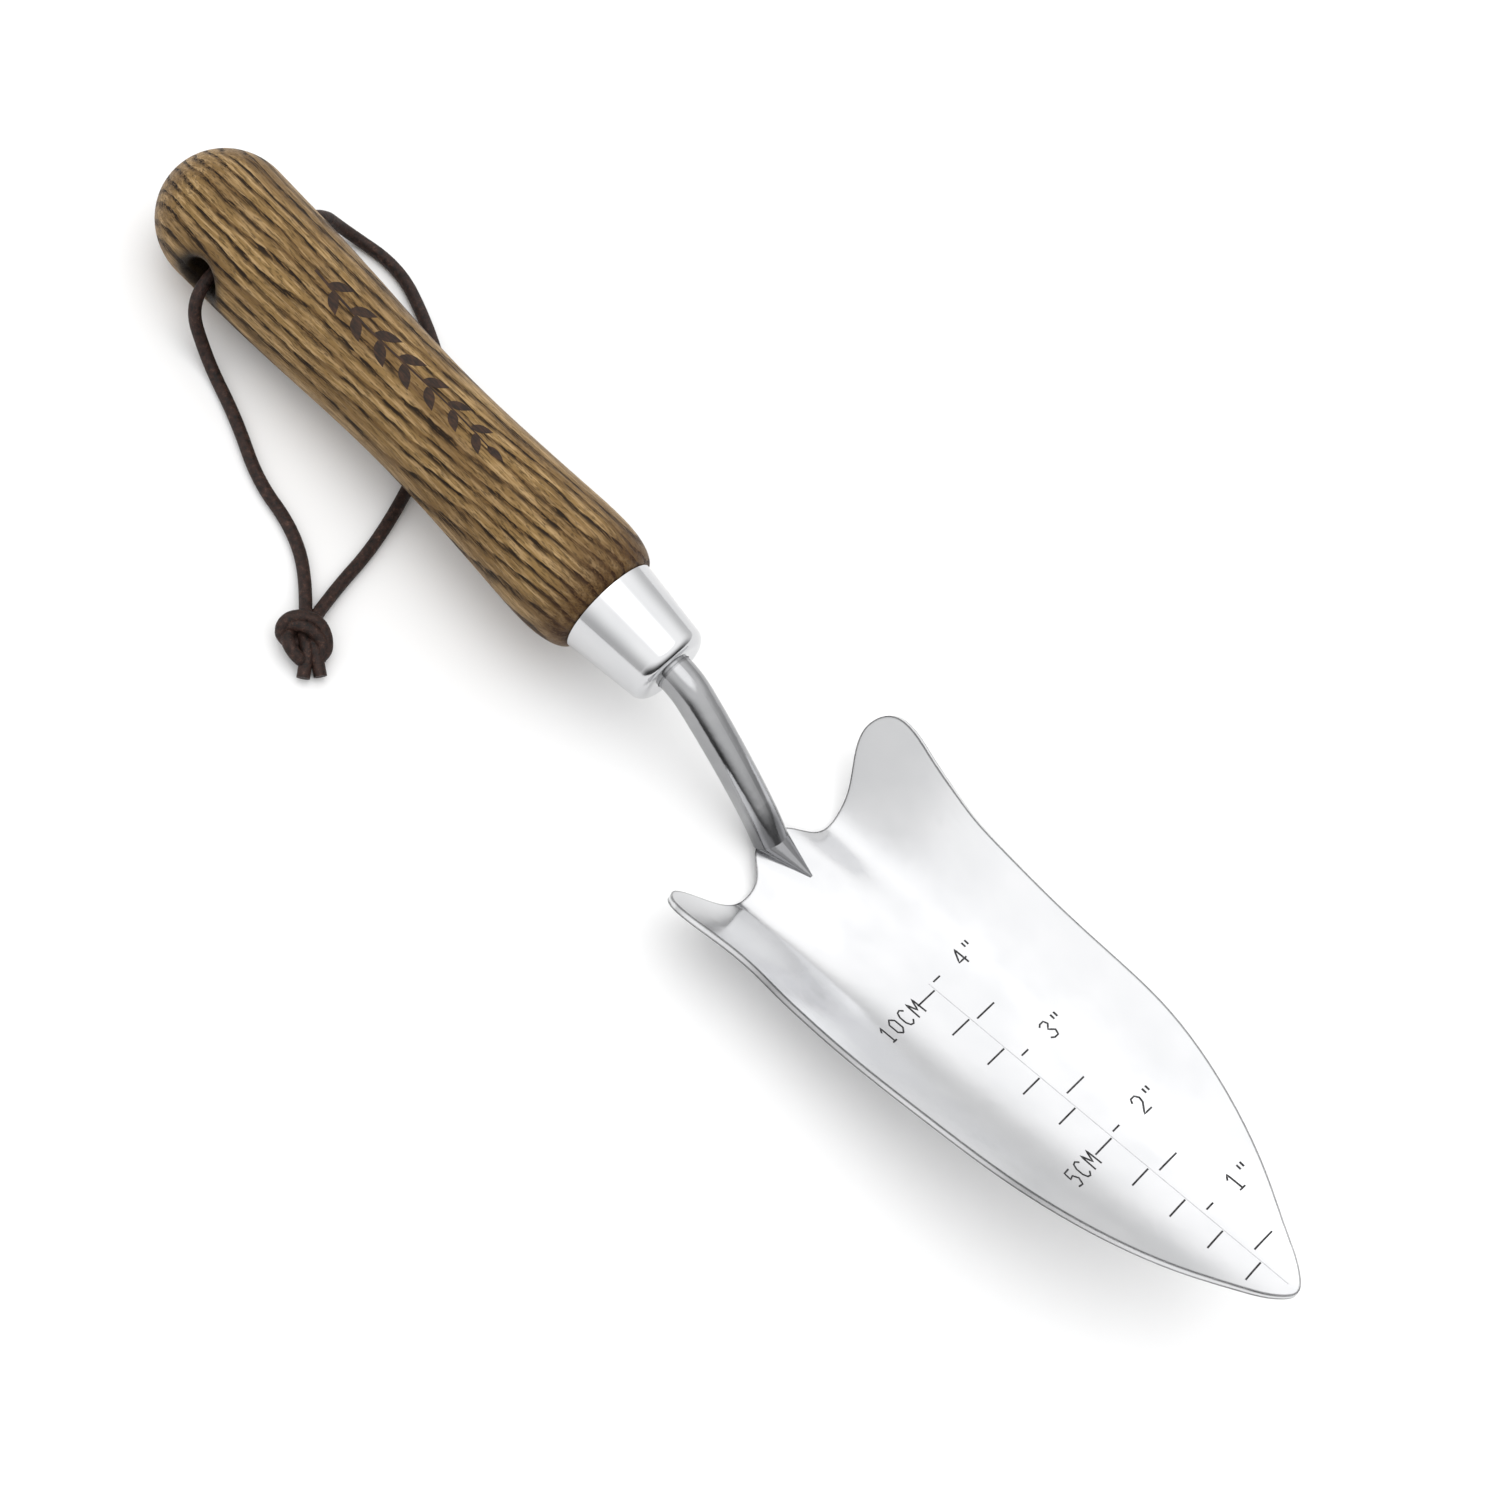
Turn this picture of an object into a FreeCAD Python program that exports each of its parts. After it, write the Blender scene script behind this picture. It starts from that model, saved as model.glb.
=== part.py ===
"""Hand trowel: turned ash handle, steel ferrule, bent neck rod, pressed steel blade and a leather thong.

Millimetres, +Z up. Every piece is first built along the handle's axis, with +Y towards the blade's tip,
Y = 0 at the middle of the ferrule's nose and the hollow side of the blade up. The whole trowel is then
tipped to the angle at which it rests on a table, on the butt of its handle and the back of its blade.
"""
import FreeCAD, Part
import math
import os

os.makedirs("parts", exist_ok=True)
V = FreeCAD.Vector
AXIS_X = V(1, 0, 0)
AXIS_Y = V(0, 1, 0)
AXIS_Z = V(0, 0, 1)

# ---- Driving dimensions, mm and degrees ----
# Handle, measured from the end of its butt
HANDLE_LENGTH = 141.5
BUTT_DIAMETER = 32.4
WAIST_DIAMETER = 27.6
SHOULDER_DIAMETER = 31.6
SHOULDER_ROUND = 11.0
HOLE_FROM_BUTT = 24.5
HOLE_DIAMETER = 9.0
HOLE_ROUNDING = 2.2
# Its side from the butt's dome to the rounded shoulder: (share of the way, share of the waist's depth)
SIDE_TO_WAIST = [(0.0, 0.0), (0.09, 0.083), (0.23, 0.27), (0.39, 0.688), (0.585, 1.0)]
SIDE_TO_SHOULDER = [(0.75, 0.725), (0.91, 0.2), (0.99, 0.0), (1.0, 0.0)]
# Ferrule
FERRULE_LENGTH = 21.0
FERRULE_RIM_DIAMETER = 24.6
FERRULE_NOSE_DIAMETER = 20.4
FERRULE_NOSE_ROUND = 3.2
FERRULE_WALL = 1.2
FERRULE_END_WALL = 2.0
FERRULE_EDGE = 0.3
NOSE_Y = 1.0
SHOULDER_STEP = 0.1
TENON_GAP = 0.4
NECK_CLEARANCE = 0.15
# Neck rod and the tang inside the handle
NECK_DIAMETER = 9.0
NECK_END_DIAMETER = 8.3
TANG_DIAMETER = 8.0
TANG_DEPTH = 78.0
GLUE_GAP = 0.6
GLUE_BOTTOM = 2.0
NECK_STRAIGHT = 1.5
NECK_BENDS = [(14.0, 28.5), (200.0, 8.0), (60.0, 7.0)]
NECK_RUN_OUT = 2.6
TONGUE_LENGTH = 12.8
TONGUE_TIP_RADIUS = 0.35
# Blade: the middle of its rear edge is placed from the end of the neck's last bend
BLADE_LENGTH = 150.5
BLADE_WIDTH = 70.8
BLADE_RISE = 12.0
SHEET = 1.5
REAR_BEHIND_NECK_END = -0.18
REAR_BELOW_NECK_END = 4.90
# The tables below draw the blade at its usual size, and follow its length and width. In them v runs back
# from the tip along the floor, x across it and h up from it.
# (v, half the floor's width, softness of the bend, slope of the flange)
SECTIONS = [
    (0, 6.0, 10.0, 0.62),
    (30, 9.0, 10.0, 0.60),
    (60, 12.0, 9.0, 0.66),
    (90, 14.2, 7.5, 0.67),
    (105, 15.3, 6.5, 0.76),
    (117, 16.0, 5.2, 0.90),
    (127, 16.2, 4.2, 1.08),
    (137, 16.2, 3.4, 1.13),
    (155, 16.2, 3.0, 1.11),
]
# (v, height of the raised middle of the floor behind the ruler)
RAISED_FLOOR = [(0, 0.0), (100, 0.0), (112, 0.3), (122, 1.2), (131, 2.6), (138, 3.6), (146, 4.1), (156, 4.2)]
RAISED_HALF_WIDTH = 8.5
RAISED_FOOT = 16.0
# The hollow side is drawn through a grid that runs past the outline: its reach in v and x, and its steps
GRID_V = (-8, 160)
GRID_X = 42
GRID_ALONG = 24
GRID_ACROSS = 28
OUTLINE_PARTS = 8
# Half outline of the blade as (x, v): the rear edge from the neck out to the shoulder, then the side edge
REAR_EDGE = [(0, 150.5), (5.0, 149.5), (9.5, 144.9), (15.0, 144.2), (21.0, 145.4), (26.5, 149.0),
             (31.0, 150.5), (34.4, 148.0), (35.4, 142.5)]
SIDE_EDGE = [(33.8, 134.0), (32.3, 125.0), (31.2, 108.0), (29.5, 80.0), (27.6, 58.0), (22.6, 38.0),
             (14.4, 19.4), (8.2, 9.0), (3.2, 1.9), (0, 0)]
# Thong and its knot; the route is (x, y) from the hole's centre and z from the table
THONG_DIAMETER = 3.0
THONG_LIE = THONG_DIAMETER / 2 + 0.1
ARC_SHARE = 0.45
KNOT_SIZE = (12.0, 8.6)
KNOT_ROUNDING = 4.0
KNOT_PLACE = (50.0, 77.5, 4.4)
TAIL_ENDS = [(57.5, 83.5, 1.7), (54.0, 86.5, 1.7)]
THONG_ROUTE = [
    (45.9, 73.2, 3.4),
    (38.5, 65.5, THONG_LIE),
    (33.2, 54.5, THONG_LIE),
    (31.6, 41.0, THONG_LIE),
    (25.2, 26.5, THONG_LIE),
    (20.6, 11.0, THONG_LIE),
    (19.6, 1.0, 15.0),
    (0.0, -0.8, 17.2),
    (-19.6, 0.5, 15.0),
    (-28.5, 2.5, THONG_LIE),
    (-32.4, 17.5, THONG_LIE),
    (-27.8, 32.0, THONG_LIE),
    (-21.0, 46.0, THONG_LIE),
    (-8.0, 56.0, THONG_LIE),
    (7.0, 63.5, THONG_LIE),
    (22.5, 69.3, THONG_LIE),
    (36.0, 72.0, THONG_LIE),
    (45.1, 75.0, 3.2),
]

# ---- Places worked out from them ----
RIM_Y = NOSE_Y - FERRULE_LENGTH
BUTT_Y = RIM_Y - HANDLE_LENGTH
HOLE_Y = BUTT_Y + HOLE_FROM_BUTT
TENON_Y = NOSE_Y - FERRULE_END_WALL - TENON_GAP
BORE_Y = RIM_Y - TANG_DEPTH
BORE_RADIUS = TANG_DIAMETER / 2 + GLUE_GAP
STRETCH = BLADE_LENGTH / REAR_EDGE[0][1]
WIDEN = BLADE_WIDTH / 2 / REAR_EDGE[-1][0]


def along(stations, v, column):
    """The value of one column at v, on a smooth curve through the stations."""
    last = len(stations) - 1
    i = 0
    while i < last - 1 and v > stations[i + 1][0]:
        i += 1

    def slope(k):
        a = max(k - 1, 0)
        b = min(k + 1, last)
        return (stations[b][column] - stations[a][column]) / (stations[b][0] - stations[a][0])

    v0, v1 = stations[i][0], stations[i + 1][0]
    p0, p1 = stations[i][column], stations[i + 1][column]
    t = (v - v0) / (v1 - v0)
    if t < 0:
        return p0 + slope(i) * (v - v0)
    if t > 1:
        return p1 + slope(i + 1) * (v - v1)
    m0, m1 = slope(i) * (v1 - v0), slope(i + 1) * (v1 - v0)
    return ((2 * t**3 - 3 * t**2 + 1) * p0 + (t**3 - 2 * t**2 + t) * m0
            + (3 * t**2 - 2 * t**3) * p1 + (t**3 - t**2) * m1)


def floor_height(x, v):
    """Height of the blade's hollow side above its floor line."""
    x = x / WIDEN
    v = v / STRETCH
    half, soft, slope = [along(SECTIONS, v, k) for k in (1, 2, 3)]
    trough = math.hypot(x - half, soft) + math.hypot(x + half, soft) - 2 * math.hypot(half, soft)
    share = (abs(x) - RAISED_HALF_WIDTH / 2) / (RAISED_FOOT - RAISED_HALF_WIDTH / 2)
    share = min(max(share, 0.0), 1.0)
    raised = along(RAISED_FLOOR, v, 1) * (1 + math.cos(math.pi * share)) / 2
    return slope * trough / 2 + raised


def turned(profile):
    """A solid of revolution about the handle's axis, from edges in XY; its seam is underneath."""
    solid = Part.Face(Part.Wire(profile)).revolve(V(0, 0, 0), AXIS_Y, 360)
    solid.rotate(V(0, 0, 0), AXIS_Y, 90)
    return solid


def line(*points):
    """Edges between (radius, y) points."""
    places = [V(r, y, 0) for r, y in points]
    return [Part.makeLine(a, b) for a, b in zip(places, places[1:])]


def quarter_ellipse(centre, radial, axial):
    """A quarter of an ellipse, from its side (+X) to its end (+Y)."""
    ellipse = Part.Ellipse(centre + V(0, axial, 0), centre + V(-radial, 0, 0), centre)
    return Part.ArcOfEllipse(ellipse, math.pi * 1.5, math.pi * 2).toShape()


def ferrule_inside(y):
    """Inner radius of the ferrule's taper."""
    nose_y = NOSE_Y - FERRULE_NOSE_ROUND
    share = (y - RIM_Y) / (nose_y - RIM_Y)
    outside = FERRULE_RIM_DIAMETER / 2 * (1 - share) + FERRULE_NOSE_DIAMETER / 2 * share
    return outside - FERRULE_WALL


def make_handle():
    """Turned wood: domed butt, waist, rounded shoulder, then the tenon inside the ferrule and the bore."""
    shoulder_y = RIM_Y - SHOULDER_ROUND
    butt, waist, shoulder = BUTT_DIAMETER / 2, WAIST_DIAMETER / 2, SHOULDER_DIAMETER / 2
    dome_y = BUTT_Y + butt
    diagonal = butt * math.sqrt(0.5)
    dome = Part.Arc(V(0, BUTT_Y, 0), V(diagonal, dome_y - diagonal, 0), V(butt, dome_y, 0)).toShape()
    side_length = shoulder_y - dome_y
    points = []
    for end, stations in ((butt, SIDE_TO_WAIST), (shoulder, SIDE_TO_SHOULDER)):
        for share, depth in stations:
            points.append(V(end - depth * (end - waist), dome_y + share * side_length, 0))
    side = Part.BSplineCurve()
    side.interpolate(Points=points, InitialTangent=AXIS_Y)
    foot = FERRULE_RIM_DIAMETER / 2 - SHOULDER_STEP
    rounding = quarter_ellipse(V(foot, shoulder_y, 0), shoulder - foot, SHOULDER_ROUND)
    inside = line((foot, RIM_Y), (ferrule_inside(RIM_Y), RIM_Y), (ferrule_inside(TENON_Y), TENON_Y),
                  (BORE_RADIUS, TENON_Y), (BORE_RADIUS, BORE_Y), (0, BORE_Y), (0, BUTT_Y))
    handle = turned([dome, side.toShape(), rounding] + inside)
    hole = Part.makeCylinder(HOLE_DIAMETER / 2, 2 * BUTT_DIAMETER, V(-BUTT_DIAMETER, HOLE_Y, 0), AXIS_X)
    handle = handle.cut(hole).Solids[0]
    # The hole's mouths are the closed edges well out from the axis, where it meets the round side
    mouths = []
    for edge in handle.Edges:
        box = edge.BoundBox
        at_hole = abs(box.Center.y - HOLE_Y) < 1 and abs(box.Center.z) < 1
        if at_hole and abs(box.Center.x) > waist / 2 and box.YLength < HOLE_DIAMETER + 1:
            mouths.append(edge)
    return handle.makeFillet(HOLE_ROUNDING, mouths).Solids[0]


def make_ferrule():
    """Spun steel cup: a taper with a rounded nose, open towards the wood and bored for the neck."""
    rim, nose = FERRULE_RIM_DIAMETER / 2, FERRULE_NOSE_DIAMETER / 2
    nose_y = NOSE_Y - FERRULE_NOSE_ROUND
    bore = NECK_DIAMETER / 2 + NECK_CLEARANCE
    back = NOSE_Y - FERRULE_END_WALL
    flat = nose - FERRULE_NOSE_ROUND
    outside = line((rim - FERRULE_EDGE, RIM_Y), (rim, RIM_Y + FERRULE_EDGE), (nose, nose_y))
    rounding = quarter_ellipse(V(flat, nose_y, 0), FERRULE_NOSE_ROUND, FERRULE_NOSE_ROUND)
    inside = line((flat, NOSE_Y), (bore, NOSE_Y), (bore, back), (ferrule_inside(back), back),
                  (ferrule_inside(RIM_Y), RIM_Y), (rim - FERRULE_EDGE, RIM_Y))
    return turned(outside + [rounding] + inside)


def neck_path():
    """The neck's centreline as edges, with its last point and heading in degrees below the axis."""
    place = V(0, 0, 0)
    heading = 0.0
    edges = []
    ahead = place + V(0, NECK_STRAIGHT, 0)
    edges.append(Part.makeLine(place, ahead))
    place = ahead
    for radius, turn in NECK_BENDS:
        centre = place + V(0, -math.sin(math.radians(heading)), -math.cos(math.radians(heading))) * radius
        spots = []
        for share in (0.5, 1.0):
            a = math.radians(heading + share * turn)
            spots.append(centre + V(0, math.sin(a), math.cos(a)) * radius)
        edges.append(Part.Arc(place, spots[0], spots[1]).toShape())
        place = spots[1]
        heading += turn
    a = math.radians(heading)
    ahead = place + V(0, math.cos(a), -math.sin(a)) * NECK_RUN_OUT
    edges.append(Part.makeLine(place, ahead))
    return edges, ahead, heading


def ring(place, direction, radius):
    return Part.Wire(Part.Circle(place, direction, radius).toShape())


def rear_place():
    """Middle of the blade's rear edge, on its floor line; the blade follows the neck's bends."""
    end = neck_path()[1]
    return end + V(0, -REAR_BEHIND_NECK_END, -REAR_BELOW_NECK_END)


def make_neck(blade):
    """Round rod from the tang to the tongue that is welded down on the blade's floor."""
    edges, end, heading = neck_path()
    a = math.radians(heading)
    forward = V(0, math.cos(a), -math.sin(a))
    start = ring(V(0, 0, 0), AXIS_Y, NECK_DIAMETER / 2)
    rod = Part.Wire(edges).makePipeShell([start, ring(end, forward, NECK_END_DIAMETER / 2)], True, False)
    collar = Part.makeCylinder(NECK_DIAMETER / 2, -TENON_Y, V(0, TENON_Y, 0), AXIS_Y)
    tang_y = BORE_Y + GLUE_BOTTOM
    tang = Part.makeCylinder(TANG_DIAMETER / 2, TENON_Y - tang_y, V(0, tang_y, 0), AXIS_Y)
    # The tongue's tip lies on the floor, in front of the rear edge
    rise = math.radians(BLADE_RISE)
    rear = rear_place()
    ahead = end.y + TONGUE_LENGTH - rear.y
    from_tip = BLADE_LENGTH - ahead / math.cos(rise)
    tip = rear + V(0, ahead, ahead * math.tan(rise) + floor_height(0, from_tip))
    tongue = Part.makeLoft([ring(end, forward, NECK_END_DIAMETER / 2),
                            ring(tip, V(0, 1, math.tan(rise)), TONGUE_TIP_RADIUS)], True, True)
    neck = rod.fuse([collar, tang, tongue]).removeSplitter().cut(blade)
    return max(neck.Solids, key=lambda s: s.Volume)


def make_blade():
    """Pressed sheet: the hollow surface is cut to its outline, then given its thickness downwards."""
    rows = []
    for i in range(GRID_ALONG + 1):
        v = STRETCH * (GRID_V[0] + (GRID_V[1] - GRID_V[0]) * i / GRID_ALONG)
        across = [WIDEN * GRID_X * (2 * j / GRID_ACROSS - 1) for j in range(GRID_ACROSS + 1)]
        rows.append([V(x, -v, floor_height(x, v)) for x in across])
    surface = Part.BSplineSurface()
    surface.interpolate(rows)
    right = [V(WIDEN * x, -STRETCH * v, 0) for x, v in REAR_EDGE + SIDE_EDGE]
    left = [V(-p.x, p.y, 0) for p in reversed(right[:-1])]
    outline = Part.BSplineCurve()
    outline.interpolate(right + left)
    # The outline is one smooth curve, kept as several edges so that the faces it bounds measure exactly
    step = (outline.LastParameter - outline.FirstParameter) / OUTLINE_PARTS
    edges = []
    for i in range(OUTLINE_PARTS):
        part = outline.copy()
        part.segment(outline.FirstParameter + i * step, outline.FirstParameter + (i + 1) * step)
        edges.append(part.toShape())
    stamp = Part.Face(Part.Wire(edges)).extrude(AXIS_Z * BLADE_WIDTH)
    stamp.translate(V(0, 0, -BLADE_WIDTH / 2))
    hollow = surface.toShape().common(stamp).Faces[0]
    blade = hollow.makeOffsetShape(-SHEET, 0.01, fill=True)
    if blade.BoundBox.ZMin > -SHEET / 2:
        blade = hollow.makeOffsetShape(SHEET, 0.01, fill=True)
    blade = blade if blade.ShapeType == "Solid" else Part.Solid(blade.Shells[0])
    blade.translate(V(0, BLADE_LENGTH, 0))
    blade.rotate(V(0, 0, 0), AXIS_X, BLADE_RISE)
    blade.translate(rear_place())
    return blade


def make_glue():
    """Cured glue between the tang and the wall of the handle's bore."""
    length = TENON_Y - BORE_Y
    sleeve = Part.makeCylinder(BORE_RADIUS, length, V(0, BORE_Y, 0), AXIS_Y)
    tang = Part.makeCylinder(TANG_DIAMETER / 2, length, V(0, BORE_Y + GLUE_BOTTOM, 0), AXIS_Y)
    return sleeve.cut(tang).Solids[0]


def rest_pitch(handle, blade):
    """Degrees of tip at which the butt and the blade's back touch the table together."""
    low, high = -5.0, 15.0
    for _ in range(24):
        middle = (low + high) / 2
        bottoms = []
        for shape in (handle, blade):
            tipped = shape.copy()
            tipped.rotate(V(0, 0, 0), AXIS_X, middle)
            bottoms.append(tipped.optimalBoundingBox(False, False).ZMin)
        if bottoms[0] > bottoms[1]:
            low = middle
        else:
            high = middle
    return middle


def thong_path(points):
    """Straight runs joined by tangent arcs; returns the edges, the length and the arcs' radii."""
    edges, radii = [], []
    length = 0.0
    place = points[0]
    for before, corner, after in zip(points, points[1:], points[2:]):
        come, go = corner - before, after - corner
        turn = come.getAngle(go)
        short = min(come.Length, go.Length)
        radius = ARC_SHARE * short / math.tan(turn / 2)
        come.normalize()
        go.normalize()
        first = corner - come * (ARC_SHARE * short)
        last = corner + go * (ARC_SHARE * short)
        inward = (go - come).normalize()
        middle = corner + inward * (radius / math.cos(turn / 2) - radius)
        edges.append(Part.makeLine(place, first))
        edges.append(Part.Arc(first, middle, last).toShape())
        length += (first - place).Length + radius * turn
        radii.append(radius)
        place = last
    edges.append(Part.makeLine(place, points[-1]))
    length += (points[-1] - place).Length
    return edges, length, radii


def make_thong(hole):
    """Leather thong, from the knot through the handle's hole, round under the waist and back to the knot."""
    points = [V(hole.x + x, hole.y + y, z) for x, y, z in THONG_ROUTE]
    edges, length, radii = thong_path(points)
    profile = ring(points[0], points[1] - points[0], THONG_DIAMETER / 2)
    thong = Part.Wire(edges).makePipeShell([profile], True, False)
    section = math.pi * THONG_DIAMETER**2 / 4
    print("thong length", round(length, 1), "volume share", round(thong.Volume / (section * length), 4),
          "radii", [round(r, 1) for r in radii])
    return thong


def make_knot(hole, thong):
    """Overhand knot that joins the thong's two ends, with its two short tails."""
    x, y, z = KNOT_PLACE
    centre = V(hole.x + x, hole.y + y, z)
    ball = Part.makeCylinder(KNOT_SIZE[0] / 2, KNOT_SIZE[1], centre - V(0, 0, KNOT_SIZE[1] / 2))
    rims = [edge for edge in ball.Edges if isinstance(edge.Curve, Part.Circle)]
    ball = ball.makeFillet(KNOT_ROUNDING, rims)
    tails = []
    for x, y, z in TAIL_ENDS:
        end = V(hole.x + x, hole.y + y, z)
        tails.append(Part.makeCylinder(THONG_DIAMETER / 2, (end - centre).Length, centre, end - centre))
    return ball.fuse(tails).cut(thong).Solids[0]


def main():
    blade = make_blade()
    pieces = {
        "handle": make_handle(),
        "ferrule": make_ferrule(),
        "neck_rod": make_neck(blade),
        "tang_glue": make_glue(),
        "blade": blade,
    }
    pitch = rest_pitch(pieces["handle"], blade)
    hole = V(0, HOLE_Y, 0)
    turn = FreeCAD.Rotation(AXIS_X, pitch)
    for shape in pieces.values():
        shape.rotate(V(0, 0, 0), AXIS_X, pitch)
    box = Part.makeCompound(list(pieces.values())).optimalBoundingBox(False, False)
    shift = V(-box.Center.x, -box.Center.y, -box.ZMin)
    for shape in pieces.values():
        shape.translate(shift)
    hole = turn.multVec(hole) + shift
    pieces["lanyard_thong"] = make_thong(hole)
    pieces["lanyard_knot"] = make_knot(hole, pieces["lanyard_thong"])
    print("pitch", round(pitch, 3), "hole", hole, "shift", shift)
    for name, shape in pieces.items():
        print(name, shape.isValid(), shape.ShapeType, len(shape.Solids), round(shape.Volume, 1))
        shape.exportStep("parts/" + name + ".step")


main()
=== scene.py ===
"""Looks of the hand trowel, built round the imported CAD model: metres, +Z up, +Y towards the blade's tip."""
import math

import bpy
from mathutils import Matrix, Vector
from mathutils.bvhtree import BVHTree


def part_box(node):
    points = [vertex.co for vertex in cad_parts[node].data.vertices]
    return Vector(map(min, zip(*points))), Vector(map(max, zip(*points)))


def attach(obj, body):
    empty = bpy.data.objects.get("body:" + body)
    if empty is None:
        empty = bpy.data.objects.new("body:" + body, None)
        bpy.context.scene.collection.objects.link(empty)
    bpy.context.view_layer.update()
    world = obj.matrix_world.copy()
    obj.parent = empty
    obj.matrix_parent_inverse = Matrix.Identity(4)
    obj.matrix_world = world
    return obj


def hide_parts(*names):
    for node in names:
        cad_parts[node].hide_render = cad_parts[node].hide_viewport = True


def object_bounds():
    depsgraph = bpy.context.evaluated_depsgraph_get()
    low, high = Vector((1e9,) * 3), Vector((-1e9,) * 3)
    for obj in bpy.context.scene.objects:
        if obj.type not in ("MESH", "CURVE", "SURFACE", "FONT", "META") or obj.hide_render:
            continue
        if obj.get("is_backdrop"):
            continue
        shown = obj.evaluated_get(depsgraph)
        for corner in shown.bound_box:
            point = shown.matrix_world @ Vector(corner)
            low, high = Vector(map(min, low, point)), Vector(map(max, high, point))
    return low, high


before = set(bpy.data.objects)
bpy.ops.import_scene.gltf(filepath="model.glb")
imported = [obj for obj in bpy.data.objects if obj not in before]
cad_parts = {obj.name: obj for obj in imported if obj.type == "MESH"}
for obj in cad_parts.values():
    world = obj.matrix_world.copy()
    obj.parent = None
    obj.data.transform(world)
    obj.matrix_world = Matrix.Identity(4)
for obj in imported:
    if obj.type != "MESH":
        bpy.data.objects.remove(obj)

CAD_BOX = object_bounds()

# ---- Ash handle ----
# One piece of ash, turned on a lathe, stained brown and oiled. Ash is ring-porous: each year's ring starts
# with a row of wide open pores, and the stain gathers in them as broken dark streaks along the grain.
# Towards the ferrule the wood's colour gets darker. Inside the cross hole and round its mouth the colour
# is painted nearly black, a painted shade.
MM = 0.001
PITCH = math.radians(3.315)
AXIS_PLACE = (0.0, -12.62, 24.60)
HANDLE_END = -20.0
HANDLE_LENGTH = 141.5
BUTT_RADIUS = 16.2
HOLE_FROM_BUTT = 24.5
RING_WIDTH = 2.7
HEART_PLACE = (-52.0, 0.0, 34.0)
GRAIN_DRIFT = 0.00045
PORE_ACROSS = 0.42
PORE_ALONG = 5.0
FINE_PORE_ACROSS = 0.25
FINE_PORE_ALONG = 2.5
PORE_DEPTH = 0.16
PORE_RELIEF = 0.9
STREAK_ACROSS = 1.6
STREAK_ALONG = 12.0
BAND_ACROSS = 0.8
BAND_ALONG = 12.0
CLOUD_ACROSS = 5.0
CLOUD_ALONG = 30.0
WARP_ALONG = 40.0
WARP_ACROSS = 8.0
WARP_DEPTH = 5.0
RIPPLE_ALONG = 7.0
RIPPLE_ACROSS = 2.2
RIPPLE_DEPTH = 1.3
ASH_LIGHT = "#AA8D63"
ASH_LATE = "#83683F"
ASH_EARLY = "#5E4526"
ASH_PORE = "#140A03"
ASH_DARKER_END = "#3A2210"
HOLE_PAINTED_SHADE = "#120B06"
OIL_ROUGHNESS = (0.62, 0.46)
WOOD_IOR = 1.5
WOOD_GLOSS = 0.15
DARKER_END = 14.0
FERRULE_DARKENING = 0.62
HOLE_SHADE_SPAN = (5.0, 9.5)
HOLE_SHADE_DEPTH = 0.96
# Where each pattern starts and is whole: shares of a ring's width, then levels of the noise
EARLY_RISE = (0.0, 0.06)
EARLY_FALL = (0.16, 0.56)
PORE_LEVELS = (0.42, 0.5)
FINE_PORE_LEVELS = (0.54, 0.64)
STREAK_LEVELS = (0.38, 0.52)
BAND_LEVELS = (0.42, 0.66)
CLOUD_LEVELS = (0.35, 0.68)
# How strongly each one tints the wood
EARLY_TINT = 0.8
FINE_PORE_TINT = 0.55
STREAK_LEAST = 0.15
CLOUD_TINT = 0.6
PORE_TINT = 0.95


def linear(code):
    """An sRGB hex colour as the linear colour that a shader takes."""
    parts = [int(code[i:i + 2], 16) / 255 for i in (1, 3, 5)]
    return [c / 12.92 if c <= 0.04045 else ((c + 0.055) / 1.055) ** 2.4 for c in parts] + [1.0]


def add(tree, kind, inputs=None, **settings):
    """A node with its settings; each input is linked to a socket or set to a value. Gives its outputs."""
    node = tree.nodes.new("ShaderNode" + kind)
    for name, value in settings.items():
        setattr(node, name, value)
    for key, value in (inputs or {}).items():
        if isinstance(value, bpy.types.NodeSocket):
            tree.links.new(value, node.inputs[key])
        else:
            node.inputs[key].default_value = value
    return node.outputs


def new_material(name):
    """A new material, its tree, its shader and the place on the object in millimetres."""
    made = bpy.data.materials.new(name)
    made.use_nodes = True
    tree = made.node_tree
    place = add(tree, "TexCoord")["Object"]
    place = add(tree, "VectorMath", {0: place, 3: 1 / MM}, operation="SCALE")[0]
    return made, tree, tree.nodes["Principled BSDF"], place


def dress(node, finish):
    """Gives a carried-over CAD node its material."""
    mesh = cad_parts[node].data
    mesh.materials.clear()
    mesh.materials.append(finish)


ash, tree, shader, place = new_material("turned_ash_stained_oiled")
place = add(tree, "Mapping", {0: place, 1: AXIS_PLACE, 2: (PITCH, 0, 0)}, vector_type="TEXTURE")[0]
x, y, z = add(tree, "SeparateXYZ", {0: place})
from_butt = add(tree, "Math", {0: y, 1: HANDLE_END - HANDLE_LENGTH}, operation="SUBTRACT")[0]

# The distance from the tree's heart gives the years' rings. The grain wanders, and it drifts to one side
# with the square of the distance from the butt.
sway_cells = add(tree, "VectorMath", {0: place, 1: (WARP_ACROSS, WARP_ALONG, WARP_ACROSS)},
    operation="DIVIDE")[0]
sway = add(tree, "TexNoise", {"Vector": sway_cells, "Scale": 1.0, "Detail": 1.0})["Fac"]
ripple_cells = add(tree, "VectorMath", {0: place, 1: (RIPPLE_ACROSS, RIPPLE_ALONG, RIPPLE_ACROSS)},
    operation="DIVIDE")[0]
ripple = add(tree, "TexNoise", {"Vector": ripple_cells, "Scale": 1.0})["Fac"]
wander = add(tree, "Math", {0: sway, 1: WARP_DEPTH}, operation="MULTIPLY")[0]
wander = add(tree, "Math", {0: ripple, 1: RIPPLE_DEPTH, 2: wander}, operation="MULTIPLY_ADD")[0]
drift = add(tree, "Math", {0: from_butt, 1: GRAIN_DRIFT}, operation="MULTIPLY")[0]
wander = add(tree, "Math", {0: drift, 1: from_butt, 2: wander}, operation="MULTIPLY_ADD")[0]
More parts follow.
